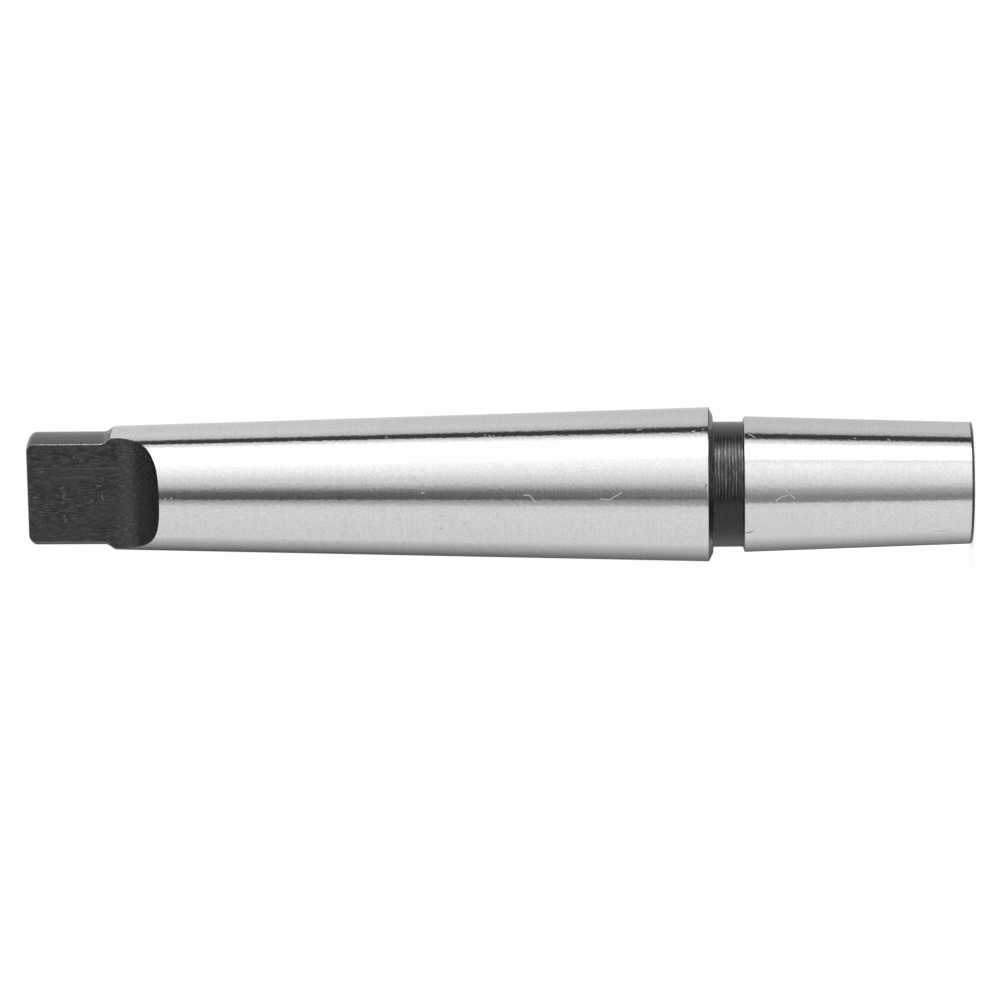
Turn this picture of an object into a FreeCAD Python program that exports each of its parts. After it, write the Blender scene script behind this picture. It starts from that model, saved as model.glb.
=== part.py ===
import FreeCAD, Part
import math
import os

import Sketcher

# A drill chuck arbor, turned and ground from one bar of hardened steel. It stands on its chuck end, with
# its axis on Z, and both flats of the tang face along Y. All sizes are in millimetres.

# Sizes that can be changed one by one.
SIZES = {
    # No. 2 self-holding taper shank to ISO 296.
    "shank_length": 80.0,
    "gauge_diameter": 17.78,
    "gauge_offset": 5.0,
    "shank_ratio": 20.02,
    # Chamfer at the shank's large end, and its share of the step down to the neck.
    "shoulder_run": 0.5,
    "shoulder_share": 0.6,
    # Neck between the two tapers, turned this far below the chuck taper.
    "neck_length": 3.65,
    "neck_relief": 0.625,
    "neck_root_radius": 0.25,
    # No. 33 chuck taper.
    "chuck_length": 26.4,
    "chuck_diameter": 15.85,
    "chuck_ratio": 15.748,
    "chuck_shoulder_run": 0.2,
    "chuck_end_chamfer": 0.2,
    # Tang, turned round below the shank's small end and then milled flat on two sides.
    "tang_turned_length": 9.0,
    "tang_shoulder_run": 0.9,
    "tang_step": 0.64,
    "tang_end_chamfer": 0.45,
    "tang_thickness": 6.3,
    "flat_length": 10.2,
    "runout_radius": 6.0,
    # Centre holes for grinding between centres.
    "centre_angle": 60.0,
    "drill_point_angle": 120.0,
    "chuck_centre_diameter": 5.3,
    "chuck_pilot_diameter": 2.5,
    "chuck_pilot_depth": 5.2,
    "tang_centre_diameter": 4.25,
    "tang_pilot_diameter": 2.0,
    "tang_pilot_depth": 4.3,
}

# Sizes that follow from them.
FOLLOWING = {
    "shoulder_z": "=chuck_length + neck_length",
    "total_length": "=shoulder_z + shank_length",
    "chuck_end_radius": "=(chuck_diameter - (chuck_length - chuck_end_chamfer) / chuck_ratio) / 2",
    "chuck_face_radius": "=chuck_end_radius - chuck_end_chamfer",
    "chuck_radius": "=chuck_diameter / 2",
    "neck_radius": "=chuck_radius - neck_relief",
    "neck_start_z": "=chuck_length + chuck_shoulder_run",
    "shank_start_z": "=shoulder_z + shoulder_run",
    "shank_start_radius": "=(gauge_diameter + (gauge_offset - shoulder_run) / shank_ratio) / 2",
    "shoulder_drop": "=shoulder_share * (shank_start_radius - neck_radius)",
    "shoulder_radius": "=shank_start_radius - shoulder_drop",
    "tang_start_z": "=total_length - tang_turned_length",
    "shank_end_z": "=tang_start_z - tang_shoulder_run",
    "shank_end_radius": "=(gauge_diameter - (shank_end_z - shoulder_z - gauge_offset) / shank_ratio) / 2",
    "tang_radius": "=shank_end_radius - tang_step",
    "tang_chamfer_z": "=total_length - tang_end_chamfer",
    "tang_face_radius": "=tang_radius - tang_end_chamfer",
    "flat_y": "=tang_thickness / 2",
    "flat_end_z": "=total_length - flat_length",
    "cut_top_z": "=total_length + 1",
    "cut_y": "=flat_y + runout_radius",
    "cut_bottom_z": "=flat_end_z - runout_radius",
}

# Each centre hole's corners, from the rim inward, as sizes along the hole's depth.
for hole in ("chuck", "tang"):
    FOLLOWING[hole + "_rim_radius"] = f"={hole}_centre_diameter / 2"
    FOLLOWING[hole + "_pilot_radius"] = f"={hole}_pilot_diameter / 2"
    FOLLOWING[hole + "_cone_depth"] = (
        f"=({hole}_rim_radius - {hole}_pilot_radius) / tan(centre_angle * 1deg / 2)"
    )
    FOLLOWING[hole + "_tip_depth"] = (
        f"={hole}_pilot_depth + {hole}_pilot_radius / tan(drill_point_angle * 1deg / 2)"
    )
for level in ("cone", "pilot", "tip"):
    FOLLOWING[f"tang_{level}_z"] = f"=total_length - tang_{level}_depth"


def make_sheet(doc):
    """The size table, one named cell for each size."""
    sheet = doc.addObject("Spreadsheet::Sheet", "Sizes")
    row = 1
    for name, value in {**SIZES, **FOLLOWING}.items():
        sheet.set(f"A{row}", name)
        sheet.set(f"B{row}", str(value))
        sheet.setAlias(f"B{row}", name)
        row += 1
    doc.recompute()
    return sheet


def new_sketch(body, name, plane):
    """A sketch on one of the body's own origin planes."""
    sketch = body.newObject("Sketcher::SketchObject", name)
    support = next(f for f in body.Origin.OriginFeatures if f.Role == plane)
    sketch.AttachmentSupport = (support, "")
    sketch.MapMode = "FlatFace"
    return sketch


def place_corner(sketch, line, corner):
    """Ties a line's first point to the named sizes; an empty name puts it on that axis."""
    for kind, name, axis in (("DistanceX", corner[0], -2), ("DistanceY", corner[1], -1)):
        if not name:
            sketch.addConstraint(Sketcher.Constraint("PointOnObject", line, 1, axis))
            continue
        value = float(sketch.Document.Sizes.get(name))
        index = sketch.addConstraint(Sketcher.Constraint(kind, -1, 1, line, 1, value))
        sketch.setExpression(f"Constraints[{index}]", f"Sizes.{name}")


def draw_outline(sketch, corners):
    """A closed chain of straight lines through corners given as pairs of size names."""
    sheet = sketch.Document.Sizes
    points = []
    for across, along in corners:
        x = float(sheet.get(across)) if across else 0.0
        y = float(sheet.get(along)) if along else 0.0
        points.append(FreeCAD.Vector(x, y, 0))
    count = len(points)
    for i in range(count):
        sketch.addGeometry(Part.LineSegment(points[i], points[(i + 1) % count]), False)
    for i in range(count):
        sketch.addConstraint(Sketcher.Constraint("Coincident", i, 2, (i + 1) % count, 1))
    for i in range(count):
        place_corner(sketch, i, corners[i])


def turn_blank(body):
    """The round blank: chuck taper, neck, shank taper and round tang, turned in one profile."""
    sketch = new_sketch(body, "TurnedProfile", "XZ_Plane")
    draw_outline(
        sketch,
        [
            ("", ""),
            ("chuck_face_radius", ""),
            ("chuck_end_radius", "chuck_end_chamfer"),
            ("chuck_radius", "chuck_length"),
            ("neck_radius", "neck_start_z"),
            ("neck_radius", "shoulder_z"),
            ("shoulder_radius", "shoulder_z"),
            ("shank_start_radius", "shank_start_z"),
            ("shank_end_radius", "shank_end_z"),
            ("tang_radius", "tang_start_z"),
            ("tang_radius", "tang_chamfer_z"),
            ("tang_face_radius", "total_length"),
            ("", "total_length"),
        ],
    )
    blank = body.newObject("PartDesign::Revolution", "TurnedBlank")
    blank.Profile = sketch
    blank.ReferenceAxis = (sketch, ["V_Axis"])
    blank.Angle = 360.0
    return blank


def round_neck_root(body, blank):
    """The small radius that the turning tool leaves where the neck meets the shoulder face."""
    sheet = body.Document.Sizes
    radius, level = float(sheet.neck_radius), float(sheet.shoulder_z)
    roots = []
    for number, edge in enumerate(blank.Shape.Edges, start=1):
        curve = edge.Curve
        if isinstance(curve, Part.Circle) and abs(curve.Radius - radius) < 1e-4:
            if abs(curve.Center.z - level) < 1e-4:
                roots.append(f"Edge{number}")
    fillet = body.newObject("PartDesign::Fillet", "NeckRoot")
    fillet.Base = (blank, roots)
    fillet.setExpression("Radius", "Sizes.neck_root_radius")
    return fillet


def mill_flats(body):
    """Both flats of the tang, each leaving the work along the cutter's radius."""
    sheet = body.Document.Sizes
    sketch = new_sketch(body, "FlatProfile", "YZ_Plane")
    flat, far = float(sheet.flat_y), float(sheet.cut_y)
    top, end, bottom = float(sheet.cut_top_z), float(sheet.flat_end_z), float(sheet.cut_bottom_z)
    radius = float(sheet.runout_radius)
    corners = [(far, bottom), (far, top), (flat, top), (flat, end)]
    for first, second in zip(corners, corners[1:]):
        start, finish = FreeCAD.Vector(*first, 0), FreeCAD.Vector(*second, 0)
        sketch.addGeometry(Part.LineSegment(start, finish), False)
    centre = FreeCAD.Vector(far, end, 0)
    circle = Part.Circle(centre, FreeCAD.Vector(0, 0, 1), radius)
    sketch.addGeometry(Part.ArcOfCircle(circle, math.pi, 1.5 * math.pi), False)
    outer, across, flat_line, arc = 0, 1, 2, 3
    sketch.addConstraint(Sketcher.Constraint("Coincident", outer, 2, across, 1))
    sketch.addConstraint(Sketcher.Constraint("Coincident", across, 2, flat_line, 1))
    sketch.addConstraint(Sketcher.Constraint("Tangent", flat_line, 2, arc, 1))
    sketch.addConstraint(Sketcher.Constraint("Coincident", arc, 2, outer, 1))
    sketch.addConstraint(Sketcher.Constraint("Vertical", outer))
    sketch.addConstraint(Sketcher.Constraint("Horizontal", across))
    sketch.addConstraint(Sketcher.Constraint("Vertical", flat_line))
    sketch.addConstraint(Sketcher.Constraint("PointOnObject", arc, 3, outer))
    for kind, line, point, value, name in (
        ("DistanceX", flat_line, 1, flat, "flat_y"),
        ("DistanceY", flat_line, 1, top, "cut_top_z"),
        ("DistanceY", flat_line, 2, end, "flat_end_z"),
    ):
        index = sketch.addConstraint(Sketcher.Constraint(kind, -1, 1, line, point, value))
        sketch.setExpression(f"Constraints[{index}]", f"Sizes.{name}")
    index = sketch.addConstraint(Sketcher.Constraint("Radius", arc, radius))
    sketch.setExpression(f"Constraints[{index}]", "Sizes.runout_radius")

    pocket = body.newObject("PartDesign::Pocket", "TangFlat")
    pocket.Profile = sketch
    pocket.Type = "Length"
    pocket.Midplane = True
    pocket.setExpression("Length", "2 * Sizes.gauge_diameter")
    body.Document.recompute()

    mirror = body.newObject("PartDesign::Mirrored", "TangFlats")
    mirror.Originals = [pocket]
    plane = next(f for f in body.Origin.OriginFeatures if f.Role == "XZ_Plane")
    mirror.MirrorPlane = (plane, [""])
    body.Tip = mirror
    return mirror


def drill_centre(body, name, face, levels, radii):
    """A centre hole: a cone for the machine's centre, and a pilot hole below it."""
    sketch = new_sketch(body, name + "Profile", "XZ_Plane")
    cone, pilot, tip = levels
    rim_radius, pilot_radius = radii
    draw_outline(
        sketch,
        [("", face), (rim_radius, face), (pilot_radius, cone), (pilot_radius, pilot), ("", tip)],
    )
    groove = body.newObject("PartDesign::Groove", name)
    groove.Profile = sketch
    groove.ReferenceAxis = (sketch, ["V_Axis"])
    groove.Angle = 360.0
    return groove


def check(doc):
    """Stops the build when any object failed."""
    for obj in doc.Objects:
        bad = {"Invalid", "Error"} & set(obj.State)
        if bad:
            raise RuntimeError(f"{obj.Name} is {sorted(bad)}")
        if hasattr(obj, "Shape") and not obj.isDerivedFrom("App::OriginFeature"):
            if obj.Shape.isNull() or not obj.Shape.isValid():
                raise RuntimeError(f"{obj.Name} has no sound shape")


def must_shrink(doc, feature, before):
    """Stops the build when a cut has taken nothing away, and gives back what is left."""
    doc.recompute()
    left = feature.Shape.Volume
    if not left < before - 1e-3:
        raise RuntimeError(f"{feature.Name} cut nothing")
    return left


doc = FreeCAD.newDocument("ChuckArbor")
make_sheet(doc)
body = doc.addObject("PartDesign::Body", "Arbor")
body.Label = "chuck_arbor"

blank = turn_blank(body)
doc.recompute()
round_neck_root(body, blank)
doc.recompute()
volume = body.Shape.Volume
volume = must_shrink(doc, mill_flats(body), volume)
chuck_centre = drill_centre(
    body,
    "ChuckCentre",
    "",
    ("chuck_cone_depth", "chuck_pilot_depth", "chuck_tip_depth"),
    ("chuck_rim_radius", "chuck_pilot_radius"),
)
volume = must_shrink(doc, chuck_centre, volume)
tang_centre = drill_centre(
    body,
    "TangCentre",
    "total_length",
    ("tang_cone_z", "tang_pilot_z", "tang_tip_z"),
    ("tang_rim_radius", "tang_pilot_radius"),
)
volume = must_shrink(doc, tang_centre, volume)
body.Tip = tang_centre
doc.recompute()
check(doc)

os.makedirs("parts", exist_ok=True)
body.Shape.exportStep("parts/chuck_arbor.step")
print("chuck_arbor", round(volume, 1), "mm3", body.Shape.BoundBox)
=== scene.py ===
import math

import bpy
from mathutils import Euler, Matrix, Vector


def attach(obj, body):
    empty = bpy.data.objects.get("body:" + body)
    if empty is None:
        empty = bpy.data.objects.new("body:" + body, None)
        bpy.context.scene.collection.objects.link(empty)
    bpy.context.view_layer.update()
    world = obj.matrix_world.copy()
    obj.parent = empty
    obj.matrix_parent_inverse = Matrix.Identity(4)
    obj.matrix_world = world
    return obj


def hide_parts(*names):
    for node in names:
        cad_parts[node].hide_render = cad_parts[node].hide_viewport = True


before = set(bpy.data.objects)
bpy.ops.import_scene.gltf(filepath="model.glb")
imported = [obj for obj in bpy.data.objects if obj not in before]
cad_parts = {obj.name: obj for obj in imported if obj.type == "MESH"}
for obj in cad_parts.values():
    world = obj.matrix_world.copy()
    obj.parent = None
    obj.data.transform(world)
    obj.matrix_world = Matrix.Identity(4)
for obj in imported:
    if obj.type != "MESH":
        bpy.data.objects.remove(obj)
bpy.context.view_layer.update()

MM = 0.001


# The arbor: one bar of hardened steel, turned between centres, its tang milled flat on two sides, the
# whole bar blackened by the hardening, and both tapers then ground bright. Sizes are in millimetres,
# measured from the chuck end's face along the axis.
NODE = "chuck_arbor"
LENGTH = 110.05
TURN_STEPS = 360
GROUND_CHUCK = (0.31, 26.4)
SHOULDER_TOP = 30.62
GROUND_SHANK = (SHOULDER_TOP, 100.15)
TANG_HALF = 3.15
FLAT_END = 99.85
RUNOUT_RADIUS = 6.0
# The centre holes' ground cones lie within this radius and depth.
CENTRE_REACH = (2.6, 2.4)

# Each corner of the turned profile: radius, height, and how far it is rounded.
PROFILE = [
    (0.0, 5.92, 0.0),
    (1.25, 5.2, 0.05),
    (1.25, 2.425, 0.06),
    (2.65, 0.0, 0.08),
    (6.8943, 0.0, 0.3),
    (7.0943, 0.2, 0.3),
    (7.925, 26.4, 0.05),
    (7.3, 26.6, 0.08),
    (7.3, 30.05, 0.25),
    (7.981, 30.05, 0.8),
    (9.0024, 30.55, 0.15),
    (7.264, 100.15, 0.7),
    (6.624, 101.05, 1.2),
    (6.624, 109.6, 0.7),
    (6.174, 110.05, 0.7),
    (2.125, 110.05, 0.08),
    (1.0, 108.1, 0.06),
    (1.0, 105.75, 0.05),
    (0.0, 105.17, 0.0),
]


def round_corners(corners, steps=4):
    """The profile with each corner replaced by a short arc that touches both its sides."""
    points = [Vector(corners[0][:2])]
    for before, corner, after in zip(corners, corners[1:], corners[2:]):
        here = Vector(corner[:2])
        back, ahead = Vector(before[:2]) - here, Vector(after[:2]) - here
        half = back.angle(ahead) / 2
        reach = min(corner[2] / math.tan(half), 0.45 * back.length, 0.45 * ahead.length)
        start, end = here + back.normalized() * reach, here + ahead.normalized() * reach
        for i in range(steps + 1):
            t = i / steps
            points.append((1 - t) ** 2 * start + 2 * t * (1 - t) * here + t ** 2 * end)
    points.append(Vector(corners[-1][:2]))
    return points


def hold_straight(points):
    """Adds a point close to each end of the long stretches, so that they are shaded straight."""
    held = [points[0]]
    for here, ahead in zip(points, points[1:]):
        way = ahead - here
        if way.length > 1.5:
            edge = 0.2 * way.normalized()
            held += [here + edge, ahead - edge]
        held.append(ahead)
    return held


def turn_profile(name, points):
    """Draws the half profile point by point and spins it once round the axis."""
    bpy.ops.object.select_all(action="DESELECT")
    bpy.ops.mesh.primitive_plane_add(size=MM, location=(0, 0, 0))
    piece = bpy.context.object
    piece.name = piece.data.name = name
    bpy.ops.object.mode_set(mode="EDIT")
    bpy.ops.mesh.merge(type="CENTER")
    bpy.ops.transform.translate(value=(points[0].x * MM, 0, points[0].y * MM))
    for here, ahead in zip(points, points[1:]):
        step = (ahead - here) * MM
        bpy.ops.mesh.extrude_vertices_move(TRANSFORM_OT_translate={"value": (step.x, 0, step.y)})
    bpy.ops.mesh.select_all(action="SELECT")
    bpy.ops.mesh.spin(steps=TURN_STEPS, angle=2 * math.pi, center=(0, 0, 0), axis=(0, 0, 1))
    bpy.ops.mesh.select_all(action="SELECT")
    bpy.ops.mesh.remove_doubles(threshold=0.002 * MM)
    bpy.ops.mesh.normals_make_consistent(inside=False)
    bpy.ops.object.mode_set(mode="OBJECT")
    return piece


def milling_cutter(name, side):
    """A block with one edge rounded to the cutter's radius, which takes one flat off the tang."""
    depth, width, top = 12.0, 24.0, LENGTH + 1.95
    bottom = FLAT_END - RUNOUT_RADIUS
    bpy.ops.object.select_all(action="DESELECT")
    bpy.ops.mesh.primitive_cube_add(size=1, location=(0, 0, 0))
    cutter = bpy.context.object
    cutter.name = name
    bpy.ops.object.mode_set(mode="EDIT")
    bpy.ops.transform.resize(value=(width * MM, depth * MM, (top - bottom) * MM))
    middle = (0, side * (TANG_HALF + depth / 2) * MM, (top + bottom) / 2 * MM)
    bpy.ops.transform.translate(value=middle)
    bpy.ops.mesh.select_all(action="DESELECT")
    bpy.ops.object.mode_set(mode="OBJECT")
    for edge in cutter.data.edges:
        ends = [cutter.data.vertices[v].co for v in edge.vertices]
        edge.select = all(abs(e.y) < (TANG_HALF + 1) * MM and e.z < FLAT_END * MM for e in ends)
    bpy.ops.object.mode_set(mode="EDIT")
    bpy.ops.mesh.select_mode(type="EDGE")
    bpy.ops.mesh.bevel(offset=RUNOUT_RADIUS * MM, segments=32, profile=0.5, clamp_overlap=False)
    bpy.ops.mesh.select_all(action="SELECT")
    bpy.ops.mesh.normals_make_consistent(inside=False)
    bpy.ops.object.mode_set(mode="OBJECT")
    return cutter


def mill(piece, cutter):
    """Cuts the cutter's shape out of the piece and removes the cutter."""
    bpy.context.view_layer.objects.active = piece
    cut = piece.modifiers.new("mill", "BOOLEAN")
    cut.object, cut.operation, cut.solver = cutter, "DIFFERENCE", "EXACT"
    bpy.ops.object.modifier_apply(modifier=cut.name)
    bpy.data.objects.remove(cutter)


def taper_radius(z):
    """The turned outline's radius at a height, in millimetres."""
    for low, high in zip(PROFILE, PROFILE[1:]):
        if low[1] <= z <= high[1] and high[1] - low[1] > 1e-6 and low[0] > 6 and high[0] > 6:
            return low[0] + (high[0] - low[0]) * (z - low[1]) / (high[1] - low[1])
    return 0.0


arbor = turn_profile("arbor_body", hold_straight(round_corners(PROFILE)))
for side in (1, -1):
    mill(arbor, milling_cutter("flat_cutter", side))


def cutter_face(z):
    """How far the milled surface lies from the axis plane at a height: flat, then along the run-out."""
    past = max(0.0, FLAT_END - z)
    return TANG_HALF + RUNOUT_RADIUS - math.sqrt(max(0.0, RUNOUT_RADIUS ** 2 - past ** 2))


def new_material(name):
    """An empty node material with its output and shader joined."""
    material = bpy.data.materials.new(name)
    material.use_nodes = True
    nodes = material.node_tree.nodes
    nodes.clear()
    shader = nodes.new("ShaderNodeBsdfPrincipled")
    output = nodes.new("ShaderNodeOutputMaterial")
    material.node_tree.links.new(shader.outputs["BSDF"], output.inputs["Surface"])
    return material, shader


def math_node(tree, operation, *values):
    """One Math node; each value is a number or another node's output."""
    node = tree.nodes.new("ShaderNodeMath")
    node.operation = operation
    for socket, value in zip(node.inputs, values):
        if isinstance(value, (int, float)):
            socket.default_value = value
        else:
            tree.links.new(value, socket)
    return node.outputs[0]


def vector_node(tree, operation, output, *values):
    """One Vector Math node; each value is a vector or another node's output."""
    node = tree.nodes.new("ShaderNodeVectorMath")
    node.operation = operation
    for socket, value in zip(node.inputs, values):
        if isinstance(value, (tuple, Vector)):
            socket.default_value = value
        else:
            tree.links.new(value, socket)
    return node.outputs[output]


def own_place(tree):
    """The piece's own coordinates, in metres."""
    return tree.nodes.new("ShaderNodeTexCoord").outputs["Object"]


def stretched_noise(tree, scale, detail=2.0):
    """Noise on the piece's own coordinates, scaled by its own amount along each axis."""
    noise = tree.nodes.new("ShaderNodeTexNoise")
    noise.inputs["Scale"].default_value = 1.0
    noise.inputs["Detail"].default_value = detail
    place = vector_node(tree, "MULTIPLY", "Vector", own_place(tree), scale)
    tree.links.new(place, noise.inputs["Vector"])
    return noise.outputs["Fac"]


def off_axis(tree):
    """The way from the axis to each place, square to the axis."""
    return vector_node(tree, "MULTIPLY", "Vector", own_place(tree), (1, 1, 0))


def tool_path(tree):
    """Each place's X, Y and Z, and how far a turning tool has gone: along the axis, and over a face."""
    split = tree.nodes.new("ShaderNodeSeparateXYZ")
    tree.links.new(own_place(tree), split.inputs["Vector"])
    radius = vector_node(tree, "LENGTH", "Value", off_axis(tree))
    return split, math_node(tree, "ADD", split.outputs["Z"], radius)


def turned_rings(tree, across, along, detail=2.0):
    """Noise in rings round the axis, which run on over faces square to the axis."""
    split, path = tool_path(tree)
    joined = tree.nodes.new("ShaderNodeCombineXYZ")
    for name in ("X", "Y"):
        tree.links.new(math_node(tree, "MULTIPLY", split.outputs[name], across), joined.inputs[name])
    tree.links.new(math_node(tree, "MULTIPLY", path, along), joined.inputs["Z"])
    noise = tree.nodes.new("ShaderNodeTexNoise")
    noise.inputs["Scale"].default_value = 1.0
    noise.inputs["Detail"].default_value = detail
    tree.links.new(joined.outputs["Vector"], noise.inputs["Vector"])
    return noise.outputs["Fac"]


def feed_marks(tree, pitch, waver):
    """The even rings of a tool's feed, a pitch in millimetres apart: 0 in a groove, 1 on a crest."""
    _, path = tool_path(tree)
    sway = math_node(tree, "MULTIPLY", turned_rings(tree, 160, 900, 1.0), waver)
    turns = math_node(tree, "MULTIPLY", path, 2 * math.pi / (pitch * MM))
    wave = math_node(tree, "SINE", math_node(tree, "ADD", turns, sway))
    return math_node(tree, "MULTIPLY_ADD", wave, 0.5, 0.5)


def two_sides(tree, turn, narrow, wide):
    """1 on the two opposite sides that face a turn, falling to 0 between two angles away from it."""
    way = Vector((math.sin(math.radians(turn)), -math.cos(math.radians(turn)), 0))
    outwards = vector_node(tree, "NORMALIZE", "Vector", off_axis(tree))
    facing = math_node(tree, "ABSOLUTE", vector_node(tree, "DOT_PRODUCT", "Value", outwards, way))
    return ramp(tree, facing, math.cos(math.radians(wide)), math.cos(math.radians(narrow)))


def ramp(tree, value, low, high, to_low=0.0, to_high=1.0):
    """Spreads a value so that low becomes to_low and high becomes to_high."""
    node = tree.nodes.new("ShaderNodeMapRange")
    node.inputs["From Min"].default_value = low
    node.inputs["From Max"].default_value = high
    node.inputs["To Min"].default_value = to_low
    node.inputs["To Max"].default_value = to_high
    tree.links.new(value, node.inputs["Value"])
    return node.outputs["Result"]


def grey(level):
    """A grey as a colour."""
    return (level, level, level, 1)


def blend(tree, amount, first, second):
    """Mixes two greys or colours by an amount."""
    node = tree.nodes.new("ShaderNodeMix")
    node.data_type = "RGBA"
    tree.links.new(amount, node.inputs["Factor"])
    for socket, colour in ((node.inputs["A"], first), (node.inputs["B"], second)):
        if isinstance(colour, tuple):
            socket.default_value = colour
        else:
            tree.links.new(colour, socket)
    return node.outputs["Result"]


def specks(tree, spacing, radius, share):
    """Small scattered dots, with sizes in millimetres and the share of places that have one."""
    cells = tree.nodes.new("ShaderNodeTexVoronoi")
    cells.inputs["Scale"].default_value = 1 / (spacing * MM)
    tree.links.new(own_place(tree), cells.inputs["Vector"])
    split = tree.nodes.new("ShaderNodeSeparateColor")
    tree.links.new(cells.outputs["Color"], split.inputs["Color"])
    near = ramp(tree, cells.outputs["Distance"], radius / spacing, 0.5 * radius / spacing)
    chosen = math_node(tree, "GREATER_THAN", split.outputs["Red"], 1 - share)
    return math_node(tree, "MULTIPLY", near, chosen)


def on_taper(turn, height):
    """The point at a turn in degrees, from the front flat's side towards +X, and a height."""
    angle, radius = math.radians(turn), taper_radius(height)
    return Vector((radius * math.sin(angle), -radius * math.cos(angle), height)) * MM


def strokes(tree, lines, on_surface, width):
    """Scratches or dents along lines of points on a surface, all of one width in millimetres."""
    place = own_place(tree)
    nearest = None
    for line in lines:
        for first, second in zip(line, line[1:]):
            start = on_surface(*first)
            way = on_surface(*second) - start
            offset = vector_node(tree, "SUBTRACT", "Vector", place, start)
            along = vector_node(tree, "DOT_PRODUCT", "Value", offset, way / way.length_squared)
            held = math_node(tree, "MINIMUM", math_node(tree, "MAXIMUM", along, 0.0), 1.0)
            scaled = tree.nodes.new("ShaderNodeVectorMath")
            scaled.operation = "SCALE"
            scaled.inputs[0].default_value = way
            tree.links.new(held, scaled.inputs["Scale"])
            away = vector_node(tree, "DISTANCE", "Value", offset, scaled.outputs["Vector"])
            nearest = away if nearest is None else math_node(tree, "MINIMUM", nearest, away)
    return ramp(tree, nearest, width * MM, 0.35 * width * MM)


def bump(tree, shader, height, depth, under=None):
    """Raises the surface by a pattern, its depth in millimetres, over another normal if there is one."""
    node = tree.nodes.new("ShaderNodeBump")
    node.inputs["Strength"].default_value = 1.0
    node.inputs["Distance"].default_value = depth * MM
    tree.links.new(height, node.inputs["Height"])
    if under is not None:
        tree.links.new(under, node.inputs["Normal"])
    tree.links.new(node.outputs["Normal"], shader.inputs["Normal"])
    return node.outputs["Normal"]


def rounded_edges(tree, radius):
    """A normal that runs round the edges, and how far each place lies on such an edge."""
    edge = tree.nodes.new("ShaderNodeBevel")
    edge.samples = 6
    edge.inputs["Radius"].default_value = radius * MM
    flat = tree.nodes.new("ShaderNodeNewGeometry")
    alike = vector_node(tree, "DOT_PRODUCT", "Value", edge.outputs["Normal"], flat.outputs["Normal"])
    return edge.outputs["Normal"], ramp(tree, alike, 0.995, 0.93)


# Handling marks on the ground tapers, as (turn, height) points: scratches that shine, chips on the
# side towards the lamp, dents painted dark as their shade, and scuffs that are hardly more than a
# shadow.
SCRATCHES = [
    [(8.5, 22.0), (3.3, 21.3), (-0.6, 20.7)],
    [(-2.2, 22.8), (0.7, 22.2), (1.8, 21.5)],
    [(6.0, 7.3), (10.5, 6.7), (8.0, 6.2), (5.5, 6.8)],
    [(4.1, 51.8), (4.0, 51.15), (-1.0, 50.5)],
    [(1.0, 43.0), (0.5, 41.9), (5.8, 40.6)],
    [(6.0, 63.6), (6.4, 63.3)],
    [(1.4, 93.4), (1.4, 93.3)],
    [(1.8, 92.7), (1.8, 92.6)],
]
CHIPS = [
    [(58.7, 25.9), (54.7, 25.2)],
    [(55.8, 13.7), (55.6, 13.6)],
    [(55.0, 9.9), (54.0, 9.7)],
    [(54.7, 32.4), (55.2, 32.1)],
    [(57.0, 31.2), (56.5, 31.1)],
    [(57.5, 38.8), (58.3, 38.3)],
    [(55.6, 55.9), (55.1, 55.8)],
    [(56.2, 56.4), (56.1, 56.3)],
    [(55.0, 55.4), (54.9, 55.3)],
    [(56.0, 67.9), (56.5, 67.7)],
]
SHADED_DENTS = [
    [(-33.2, 26.3), (-33.4, 25.9), (-31.8, 25.5)],
    [(11.6, 30.8), (9.9, 30.9)],
    [(-24.9, 61.4), (-25.2, 61.4)],
]
SCUFFS = [
    [(-40.4, 7.6), (-41.4, 7.5)],
    [(-38.2, 4.5), (-38.4, 3.5), (-36.8, 2.9)],
    [(-13.0, 74.8), (-14.5, 74.7)],
    [(-16.0, 66.2), (-16.4, 66.1)],
    [(-12.8, 61.6), (-12.9, 61.2)],
    [(-18.6, 58.4), (-19.8, 58.7)],
]


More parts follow.
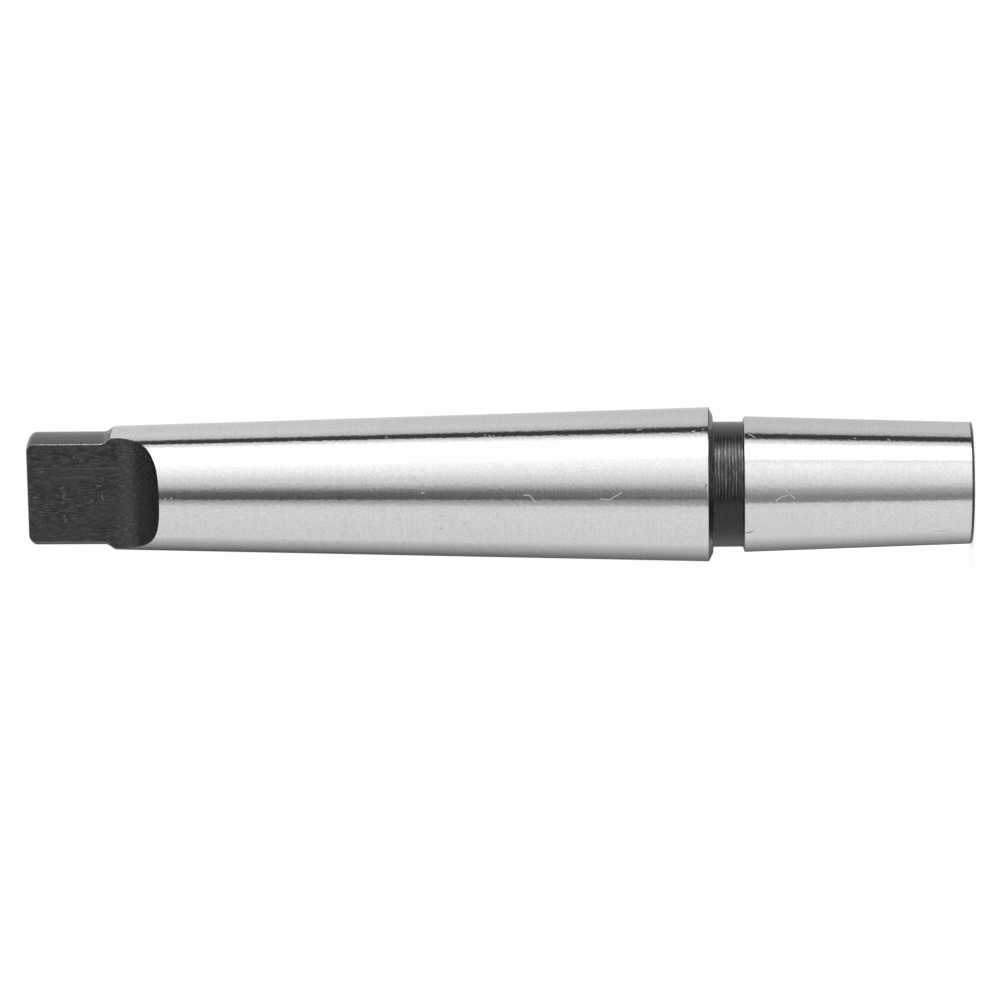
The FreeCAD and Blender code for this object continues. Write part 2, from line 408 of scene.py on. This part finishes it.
def ground_steel():
    """Bright ground steel: fine rings round the axis, a fine grain, pits and handling marks."""
    material, shader = new_material("ground_steel")
    tree = material.node_tree
    rings = turned_rings(tree, 90, 6000, 3.0)
    grain = stretched_noise(tree, (2800, 2800, 2800), 0.0)
    fleck = stretched_noise(tree, (4300, 4300, 4300), 0.0)
    cloud = stretched_noise(tree, (160, 160, 90), 2.0)
    scratched = strokes(tree, SCRATCHES, on_taper, 0.1)
    chipped = strokes(tree, CHIPS, on_taper, 0.1)
    dent_shade = strokes(tree, SHADED_DENTS, on_taper, 0.12)
    scuffed = strokes(tree, SCUFFS, on_taper, 0.12)
    pitted = specks(tree, 1.0, 0.06, 0.05)
    tone = blend(tree, ramp(tree, rings, 0.3, 0.7), grey(0.635), grey(0.68))
    tone = blend(tree, ramp(tree, fleck, 0.3, 0.7, 0.0, 0.5), tone, grey(0.5))
    tone = blend(tree, ramp(tree, cloud, 0.4, 0.75, 0.0, 0.4), tone, grey(0.59))
    shine = math_node(tree, "MAXIMUM", scratched, chipped)
    tone = blend(tree, shine, tone, grey(0.72))
    # Painted shade: the dents are darkened as if in shade; scuffs and pits darken a little too, as
    # marks.
    dent_shade_and_marks = math_node(tree, "MAXIMUM", dent_shade, math_node(tree, "MULTIPLY", scuffed, 0.35))
    dent_shade_and_marks = math_node(tree, "MAXIMUM", dent_shade_and_marks, math_node(tree, "MULTIPLY", pitted, 0.4))
    tone = blend(tree, dent_shade_and_marks, tone, grey(0.2))
    tree.links.new(tone, shader.inputs["Base Color"])
    rough = ramp(tree, rings, 0.25, 0.75, 0.08, 0.12)
    rough = math_node(tree, "ADD", rough, math_node(tree, "MULTIPLY", shine, 0.35))
    tree.links.new(rough, shader.inputs["Roughness"])
    peel = bump(tree, shader, grain, 0.0045)
    bump(tree, shader, rings, 0.001, peel)
    along = tree.nodes.new("ShaderNodeTangent")
    along.direction_type, along.axis = "RADIAL", "Z"
    tree.links.new(along.outputs["Tangent"], shader.inputs["Tangent"])
    shader.inputs["Metallic"].default_value = 1.0
    shader.inputs["Anisotropic"].default_value = 0.8
    shader.inputs["Anisotropic Rotation"].default_value = 0.25
    return material


# Where a black skin is worn through, this steel shows.
BARE_STEEL = grey(0.7)


def worn_black(tree, shader, tone, edge, wear):
    """Colour and metal of a black skin that is worn down to steel along its edges."""
    patchy = ramp(tree, stretched_noise(tree, (900, 900, 500), 1.0), 0.2, 0.4, 0.3, 1.0)
    bare = math_node(tree, "MULTIPLY", math_node(tree, "MULTIPLY", edge, patchy), wear)
    tree.links.new(blend(tree, bare, tone, BARE_STEEL), shader.inputs["Base Color"])
    tree.links.new(bare, shader.inputs["Metallic"])


def turned_black():
    """The tang's round sides: the turning tool's rings show bright through a thin black skin."""
    material, shader = new_material("turned_black")
    tree = material.node_tree
    rings = ramp(tree, feed_marks(tree, 0.25, 9.0), 0.4, 0.85)
    normal, edge = rounded_edges(tree, 0.12)
    tone = blend(tree, rings, grey(0.035), grey(0.1))
    worn_black(tree, shader, tone, edge, 0.1)
    tree.links.new(ramp(tree, rings, 0.0, 1.0, 0.24, 0.36), shader.inputs["Roughness"])
    bump(tree, shader, rings, 0.002, normal)
    shader.inputs["IOR"].default_value = 1.6
    return material


def neck_black():
    """The neck, the shoulder and the chuck end: black, its tool rings rubbed bright on two sides."""
    material, shader = new_material("neck_black")
    tree = material.node_tree
    feed = feed_marks(tree, 0.38, 11.0)
    rubbed = two_sides(tree, 31, 10, 34)
    patches = ramp(tree, turned_rings(tree, 800, 2600, 1.0), 0.3, 0.6, 0.2, 1.0)
    rubbed = math_node(tree, "MULTIPLY", rubbed, patches)
    crest = math_node(tree, "MULTIPLY", ramp(tree, feed, 0.45, 0.85), rubbed)
    normal, edge = rounded_edges(tree, 0.08)
    radius = vector_node(tree, "LENGTH", "Value", off_axis(tree))
    on_neck = ramp(tree, radius, 7.32 * MM, 7.45 * MM, 1.0, 0.0)
    # Painted sheen: the skin is lighter on the two sides that face turn 100°, where the neck is seen
    # edge-on.
    edge_on_sheen = math_node(tree, "MULTIPLY", two_sides(tree, 100, 8, 40), on_neck)
    mottle = stretched_noise(tree, (4500, 4500, 4500), 1.0)
    skin = blend(tree, ramp(tree, mottle, 0.35, 0.65), grey(0.0), grey(0.018))
    skin = blend(tree, edge_on_sheen, skin, grey(0.08))
    worn_edge = math_node(tree, "MULTIPLY", edge, 0.05)
    rubbed_crest = math_node(tree, "MULTIPLY", crest, 0.26)
    bare = math_node(tree, "MAXIMUM", worn_edge, rubbed_crest)
    tree.links.new(blend(tree, bare, skin, BARE_STEEL), shader.inputs["Base Color"])
    tree.links.new(bare, shader.inputs["Metallic"])
    tree.links.new(ramp(tree, crest, 0.0, 1.0, 0.24, 0.14), shader.inputs["Roughness"])
    bump(tree, shader, feed, 0.004, normal)
    shader.inputs["IOR"].default_value = 1.44
    return material


def higher_than(tree, height, over):
    """Grows from 0 at a height to 1 a little above it, both in millimetres."""
    split = tree.nodes.new("ShaderNodeSeparateXYZ")
    tree.links.new(own_place(tree), split.inputs["Vector"])
    return ramp(tree, split.outputs["Z"], height * MM, (height + over) * MM)


# Marks on the front flat and its run-out, as (across, height) points: nicks through the skin, and long
# fine lines that the cutter left.
NICKS = [
    [(4.35, 104.5), (4.25, 104.45)],
    [(2.55, 108.45), (2.6, 108.2)],
    [(0.85, 101.75), (0.85, 101.5)],
    [(-0.3, 101.35), (-0.5, 101.3)],
    [(-0.6, 101.25), (-0.75, 101.2)],
    [(-0.85, 102.6), (-0.85, 102.5)],
    [(0.0, 105.75), (-0.15, 105.75)],
    [(-0.4, 105.8), (-0.55, 105.85)],
    [(0.7, 105.95), (0.7, 105.9)],
    [(-0.45, 109.25), (-0.45, 109.0)],
    [(-2.7, 105.85), (-2.75, 105.8)],
    [(-3.1, 105.65), (-3.3, 105.7)],
    [(-0.2, 98.75), (-0.2, 98.7)],
    [(1.25, 96.95), (1.25, 96.9)],
    [(-5.1, 99.8), (-5.1, 99.75)],
    [(-1.9, 109.65), (-1.9, 109.6)],
]
CUTTER_LINES = [
    [(2.95, 109.35), (2.9, 99.3)],
    [(3.55, 102.6), (3.55, 99.9)],
    [(4.8, 103.5), (4.8, 102.7)],
    [(1.9, 106.2), (1.9, 102.2)],
]


def on_flat(across, height):
    """The point on the front flat or its run-out, this far across and this high."""
    return Vector((across, -cutter_face(height), height)) * MM


def milled_black():
    """The tang's flats and run-outs: black too, with the cutter's lines along the axis."""
    material, shader = new_material("milled_black")
    tree = material.node_tree
    lines = stretched_noise(tree, (7500, 7500, 1300), 1.0)
    blotch = stretched_noise(tree, (5000, 5000, 3500), 1.0)
    clouds = stretched_noise(tree, (300, 300, 160), 3.0)
    normal, edge = rounded_edges(tree, 0.17)
    edge = math_node(tree, "MULTIPLY", edge, higher_than(tree, FLAT_END - 0.5, 1.0))
    split = tree.nodes.new("ShaderNodeSeparateXYZ")
    tree.links.new(own_place(tree), split.inputs["Vector"])
    edge = math_node(tree, "MULTIPLY", edge, ramp(tree, split.outputs["X"], -MM, MM, 0.25, 1.0))
    tone = blend(tree, ramp(tree, lines, 0.4, 0.6), grey(0.0), grey(0.064))
    tone = blend(tree, ramp(tree, blotch, 0.42, 0.58, 0.0, 0.8), tone, grey(0.002))
    tone = blend(tree, ramp(tree, clouds, 0.4, 0.65, 0.0, 0.6), tone, grey(0.024))
    tone = blend(tree, specks(tree, 0.8, 0.1, 0.3), tone, grey(0.1))
    cut_lines = math_node(tree, "MULTIPLY", strokes(tree, CUTTER_LINES, on_flat, 0.12), 0.45)
    tone = blend(tree, cut_lines, tone, grey(0.08))
    tone = blend(tree, strokes(tree, NICKS, on_flat, 0.15), tone, grey(0.095))
    # Painted shade: below the flat's end the run-out darkens towards black, by up to 0.3 from 3 mm down,
    # where it bends up into the taper.
    runout_shade = math_node(tree, "MULTIPLY_ADD", higher_than(tree, FLAT_END - 3.0, 3.0), -0.3, 0.3)
    tone = blend(tree, runout_shade, tone, grey(0.0))
    worn_black(tree, shader, tone, edge, 1.0)
    tree.links.new(ramp(tree, blotch, 0.3, 0.7, 0.26, 0.42), shader.inputs["Roughness"])
    bump(tree, shader, lines, 0.01, normal)
    shader.inputs["IOR"].default_value = 1.55
    return material


def finish_faces(piece):
    """Gives ground steel to both tapers and the centre holes' cones, and black skins to the rest."""
    piece.data.materials.clear()
    for finish in (turned_black(), ground_steel(), milled_black(), neck_black()):
        piece.data.materials.append(finish)
    turned, ground, milled, neck = range(4)
    for face in piece.data.polygons:
        z = face.center.z / MM
        radius = math.hypot(face.center.x, face.center.y) / MM
        on_cone = any(low < z < high for low, high in (GROUND_CHUCK, GROUND_SHANK))
        in_centre = radius < CENTRE_REACH[0] and 0.02 < min(z, LENGTH - z) < CENTRE_REACH[1]
        cut = z > FLAT_END - RUNOUT_RADIUS and abs(abs(face.center.y) / MM - cutter_face(z)) < 0.02
        if cut and not in_centre:
            face.material_index = milled
        elif on_cone and radius > taper_radius(z) - 0.15 or in_centre:
            face.material_index = ground
        elif z < SHOULDER_TOP:
            face.material_index = neck
        else:
            face.material_index = turned


finish_faces(arbor)
bpy.ops.object.select_all(action="DESELECT")
arbor.select_set(True)
bpy.context.view_layer.objects.active = arbor
bpy.ops.object.shade_smooth_by_angle(angle=math.radians(25))
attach(arbor, "root")
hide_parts(NODE)


# The floor: a wide white sheet that the arbor stands on and that keeps its soft shadow.
def white_sheet():
    """Matt white; a little of its own white for the camera and for reflections hides its far edge."""
    material, shader = new_material("white_sheet")
    tree = material.node_tree
    shader.inputs["Base Color"].default_value = (0.9, 0.9, 0.9, 1)
    shader.inputs["Roughness"].default_value = 0.9
    shader.inputs["Emission Color"].default_value = (1, 1, 1, 1)
    path = tree.nodes.new("ShaderNodeLightPath")
    seen = tree.nodes.new("ShaderNodeMath")
    seen.operation, seen.use_clamp = "ADD", True
    tree.links.new(path.outputs["Is Camera Ray"], seen.inputs[0])
    more = tree.nodes.new("ShaderNodeMath")
    more.operation = "ADD"
    tree.links.new(path.outputs["Is Glossy Ray"], more.inputs[0])
    tree.links.new(path.outputs["Is Transmission Ray"], more.inputs[1])
    tree.links.new(more.outputs[0], seen.inputs[1])
    share = tree.nodes.new("ShaderNodeMath")
    share.operation = "MULTIPLY"
    share.inputs[1].default_value = 0.3
    tree.links.new(seen.outputs[0], share.inputs[0])
    tree.links.new(share.outputs[0], shader.inputs["Emission Strength"])
    return material


bpy.ops.object.select_all(action="DESELECT")
bpy.ops.mesh.primitive_circle_add(vertices=96, radius=6.0, fill_type="NGON", location=(0, 0, 0))
floor = bpy.context.object
floor.name = "floor_sheet"
floor.data.materials.append(white_sheet())
floor.visible_glossy = False


# The light tent: a round wall of cloth about the arbor. It is lit from one side, where it is brightest,
# has a dark slit beside that, and is dark again in front, where the camera looks through it.
TENT_RADIUS = 0.95
TENT_HEIGHT = 1.3
CAMERA_AZIMUTH = 12.0
# Angle round the tent in degrees, from the camera towards +X, and the cloth's brightness there, first as
# high up as the shank's small end mirrors it and then below the floor's level, as the chuck taper does.
TENT_UPPER_Z, TENT_LOWER_Z = 0.22, -0.08
# Far above and below, the cloth is evenly bright all round.
TENT_EVEN, TENT_EVEN_FROM = 1.0, (0.32, 0.55)
TENT_UPPER = [
    (-180, 0.15), (-157, 0.12), (-140, 0.29), (-119, 0.59), (-110, 0.76), (-102, 0.94), (-45, 1.01),
    (-35, 0.95), (-30, 0.7), (-24, 0.44), (-22, 0.1), (-16, 0.14), (-11, 0.16), (-7, 0.29), (-2, 0.58),
    (2, 0.77), (7, 0.95), (11, 1.0), (21, 1.27), (35, 1.55), (40, 1.68), (45, 3.0), (60, 4.8),
    (67, 4.2), (71, 2.0), (79, 1.3), (83.8, 1.0), (85, 0.06), (94, 0.06), (98, 0.8), (110, 0.95),
    (150, 0.8),
]
TENT_LOWER = [
    (-180, 0.2), (-157, 0.22), (-140, 0.36), (-119, 0.69), (-110, 0.84), (-102, 0.96), (-45, 1.02),
    (-35, 0.92), (-31, 0.36), (-25, 0.33), (-21, 0.38), (-16, 0.51), (-11, 0.6), (-7, 0.78),
    (-2, 0.96), (2, 1.05), (7, 1.13), (16, 1.26), (25, 1.37), (30, 1.44), (35, 1.37), (41, 1.3),
    (47, 2.2), (58, 4.4), (66, 3.4), (71, 1.4), (79, 0.97), (83.8, 0.06), (94, 0.07), (98.5, 0.67),
    (112, 0.84), (150, 0.72),
]


def tone_ramp(tree, around, tones, strongest):
    """The tones as one colour ramp, read by the place round the tent."""
    node = tree.nodes.new("ShaderNodeValToRGB")
    stops = node.color_ramp.elements
    while len(stops) < len(tones):
        stops.new(1.0)
    for stop, (degrees, tone) in zip(stops, tones):
        stop.position = (degrees + 180) / 360
        stop.color = grey(tone / strongest)
    tree.links.new(around, node.inputs["Fac"])
    return node.outputs["Color"]


def tent_cloth():
    """Cloth that glows with the tones above, read by the angle round the tent and the height."""
    material = bpy.data.materials.new("tent_cloth")
    material.use_nodes = True
    tree = material.node_tree
    tree.nodes.clear()
    place = tree.nodes.new("ShaderNodeTexCoord")
    split = tree.nodes.new("ShaderNodeSeparateXYZ")
    tree.links.new(place.outputs["Object"], split.inputs["Vector"])
    angle = tree.nodes.new("ShaderNodeMath")
    angle.operation = "ARCTAN2"
    tree.links.new(split.outputs["Y"], angle.inputs[0])
    tree.links.new(split.outputs["X"], angle.inputs[1])
    around = ramp(tree, angle.outputs[0], -math.pi, math.pi)
    strongest = max(tone for _, tone in TENT_UPPER + TENT_LOWER)
    upper = tone_ramp(tree, around, TENT_UPPER, strongest)
    lower = tone_ramp(tree, around, TENT_LOWER, strongest)
    height = ramp(tree, split.outputs["Z"], TENT_LOWER_Z, TENT_UPPER_Z)
    height.node.interpolation_type = "SMOOTHSTEP"
    glow = tree.nodes.new("ShaderNodeEmission")
    glow.inputs["Strength"].default_value = strongest
    far = ramp(tree, math_node(tree, "ABSOLUTE", split.outputs["Z"]), *TENT_EVEN_FROM)
    tone = blend(tree, far, blend(tree, height, lower, upper), grey(TENT_EVEN / strongest))
    tree.links.new(tone, glow.inputs["Color"])
    output = tree.nodes.new("ShaderNodeOutputMaterial")
    tree.links.new(glow.outputs["Emission"], output.inputs["Surface"])
    return material


bpy.ops.object.select_all(action="DESELECT")
bpy.ops.mesh.primitive_cylinder_add(
    vertices=180, radius=TENT_RADIUS, depth=2 * TENT_HEIGHT, end_fill_type="NOTHING",
    location=(0, 0, 0),
)
tent = bpy.context.object
tent.name = "tent_wall"
# The tent's own +X points at the camera's azimuth, so that its tones start there.
tent.rotation_euler.z = math.radians(CAMERA_AZIMUTH - 90)
tent.data.materials.append(tent_cloth())
tent.visible_camera = False
tent.visible_diffuse = False
tent.visible_shadow = False


# The tent's roof: a grey cloth over the wall, which the tang's flats and their run-outs mirror.
ROOF_TONE = 0.18


def roof_cloth():
    """Plain cloth with one even grey glow."""
    material = bpy.data.materials.new("roof_cloth")
    material.use_nodes = True
    tree = material.node_tree
    tree.nodes.clear()
    glow = tree.nodes.new("ShaderNodeEmission")
    glow.inputs["Strength"].default_value = ROOF_TONE
    output = tree.nodes.new("ShaderNodeOutputMaterial")
    tree.links.new(glow.outputs["Emission"], output.inputs["Surface"])
    return material


bpy.ops.object.select_all(action="DESELECT")
bpy.ops.mesh.primitive_circle_add(
    vertices=96, radius=TENT_RADIUS, fill_type="NGON", location=(0, 0, TENT_HEIGHT),
)
roof = bpy.context.object
roof.name = "tent_roof"
roof.data.materials.append(roof_cloth())
roof.visible_camera = False
roof.visible_diffuse = False
roof.visible_shadow = False


# The lamps: a wide soft lamp overhead and the white studio round it.
lamp_data = bpy.data.lights.new("overhead_lamp", "AREA")
lamp_data.shape, lamp_data.size = "DISK", 1.4
lamp_data.energy = 6.0
lamp = bpy.data.objects.new("overhead_lamp", lamp_data)
lamp.location = (0.25, -0.2, 1.6)
lamp.rotation_euler = (-lamp.location).to_track_quat("-Z", "Y").to_euler()
lamp.visible_glossy = False
bpy.context.scene.collection.objects.link(lamp)

world = bpy.data.worlds.new("white_studio")
bpy.context.scene.world = world
world.use_nodes = True
tree = world.node_tree
tree.nodes.clear()
path = tree.nodes.new("ShaderNodeLightPath")
seen = tree.nodes.new("ShaderNodeMath")
seen.operation, seen.use_clamp = "ADD", True
more = tree.nodes.new("ShaderNodeMath")
more.operation = "ADD"
tree.links.new(path.outputs["Is Camera Ray"], seen.inputs[0])
tree.links.new(path.outputs["Is Glossy Ray"], more.inputs[0])
tree.links.new(path.outputs["Is Transmission Ray"], more.inputs[1])
tree.links.new(more.outputs[0], seen.inputs[1])
strength = tree.nodes.new("ShaderNodeMapRange")
strength.inputs["To Min"].default_value = 0.75
strength.inputs["To Max"].default_value = 1.0
tree.links.new(seen.outputs[0], strength.inputs["Value"])
background = tree.nodes.new("ShaderNodeBackground")
background.inputs["Color"].default_value = (1, 1, 1, 1)
tree.links.new(strength.outputs["Result"], background.inputs["Strength"])
output = tree.nodes.new("ShaderNodeOutputWorld")
tree.links.new(background.outputs["Background"], output.inputs["Surface"])


# The camera: a long lens close to the floor, turned on its side, so that the arbor lies across the
# picture with its tang to the left.
CAMERA_RISE = -2.65
CAMERA_ROLL = -90.32
CAMERA_DISTANCE = 0.516
camera_data = bpy.data.cameras.new("camera")
camera_data.lens = 158.67
camera_data.sensor_width = 36.0
camera_data.clip_start, camera_data.clip_end = 0.05, 20.0
camera = bpy.data.objects.new("camera", camera_data)
upright = Euler((math.radians(90 - CAMERA_RISE), 0, math.radians(CAMERA_AZIMUTH))).to_matrix()
turned = upright @ Matrix.Rotation(math.radians(CAMERA_ROLL), 3, "Z")
aim = Vector((-1.72, -0.37, 54.88)) * MM
camera.rotation_euler = turned.to_euler()
camera.location = aim + turned @ Vector((0, 0, CAMERA_DISTANCE))
bpy.context.scene.collection.objects.link(camera)
bpy.context.scene.camera = camera
bpy.context.scene.view_settings.view_transform = "Standard"
